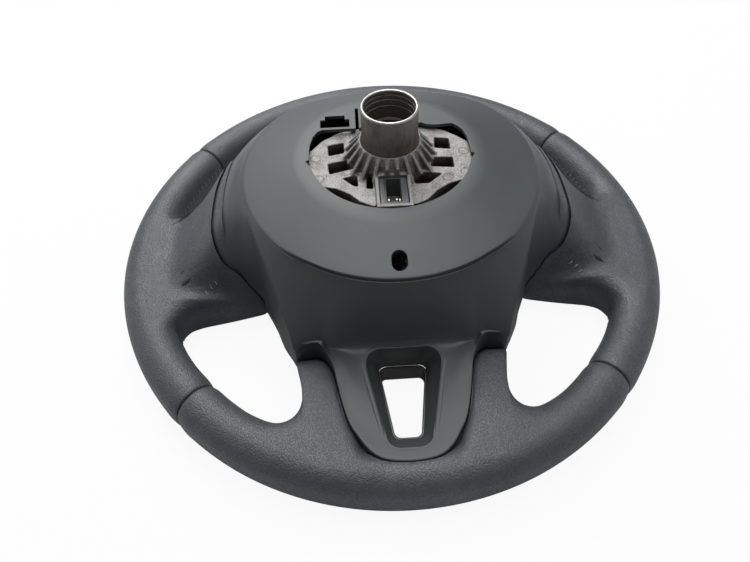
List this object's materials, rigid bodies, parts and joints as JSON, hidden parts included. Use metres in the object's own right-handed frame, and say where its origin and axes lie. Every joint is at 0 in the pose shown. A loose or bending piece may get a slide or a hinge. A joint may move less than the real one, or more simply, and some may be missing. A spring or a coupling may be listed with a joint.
{
  "type": "car steering wheel",
  "caption": "Leather-rimmed car steering wheel with a cast spider, moulded back cover, open lower spoke and a splined hub sleeve for the column.",
  "frame": {"origin": "on the steering axis, in the plane of the rim's driver side face", "axes": "+Z along the steering axis towards the column, +Y towards twelve o'clock, +X to the right as seen from the column side"},
  "size_m": [0.37, 0.37, 0.1397],
  "materials": {
    "sleeve_steel": "dull turned steel",
    "cast_metal": "die-cast, stained",
    "ring_steel": "drawn tube",
    "foam": "moulded foam, matt",
    "leather": "pebbled, satin",
    "cover_plastic": "fine texture, matt",
    "screw_steel": "zinc plated",
    "connector_plastic": "grey, smooth",
    "contact_metal": "bright",
    "bezel_plastic": "fine texture, matt",
    "trim_plastic": "satin lacquer",
    "spring_steel": "oiled wire",
    "tray_steel": "coated pressing",
    "generator_steel": "plain can",
    "cushion_fabric": "woven, folded",
    "pad_plastic": "soft touch",
    "switch_plastic": "satin",
    "key_plastic": "satin"
  },
  "bodies": {
    "wheel": {"hub_sleeve": "sleeve_steel", "armature": "cast_metal", "rim_ring": "ring_steel", "rim_foam": "foam", "leather_top": "leather", "leather_left": "leather", "leather_right": "leather", "leather_bottom": "leather", "back_cover": "cover_plastic", "cover_screws": "screw_steel", "connector_housing": "connector_plastic", "connector_pins": "contact_metal", "front_bezel": "bezel_plastic", "lower_spoke_trim": "trim_plastic", "horn_contact_plate": "contact_metal", "guide_pins": "screw_steel", "horn_springs": "spring_steel", "left_switch_base": "switch_plastic", "right_switch_base": "switch_plastic"},
    "horn_module": {"airbag_tray": "tray_steel", "gas_generator": "generator_steel", "airbag_cushion": "cushion_fabric", "horn_pad": "pad_plastic"},
    "left_upper_key": {"left_upper_key": "key_plastic"},
    "left_lower_key": {"left_lower_key": "key_plastic"},
    "right_upper_key": {"right_upper_key": "key_plastic"},
    "right_lower_key": {"right_lower_key": "key_plastic"}
  },
  "joints": [
    {"name": "horn_press", "type": "slide", "parent": "wheel", "child": "horn_module", "axis": [0, 0, 1], "range_m": [0, 0.002], "stiffness_N_per_m": 8000, "springref_m": -0.001, "deforming": ["horn_springs"]},
    {"name": "left_upper_key_press", "type": "slide", "parent": "wheel", "child": "left_upper_key", "axis": [0, 0, 1], "range_m": [0, 0.0012], "stiffness_N_per_m": 3000, "springref_m": -0.0005},
    {"name": "left_lower_key_press", "type": "slide", "parent": "wheel", "child": "left_lower_key", "axis": [0, 0, 1], "range_m": [0, 0.0012], "stiffness_N_per_m": 3000, "springref_m": -0.0005},
    {"name": "right_upper_key_press", "type": "slide", "parent": "wheel", "child": "right_upper_key", "axis": [0, 0, 1], "range_m": [0, 0.0012], "stiffness_N_per_m": 3000, "springref_m": -0.0005},
    {"name": "right_lower_key_press", "type": "slide", "parent": "wheel", "child": "right_lower_key", "axis": [0, 0, 1], "range_m": [0, 0.0012], "stiffness_N_per_m": 3000, "springref_m": -0.0005}
  ]
}
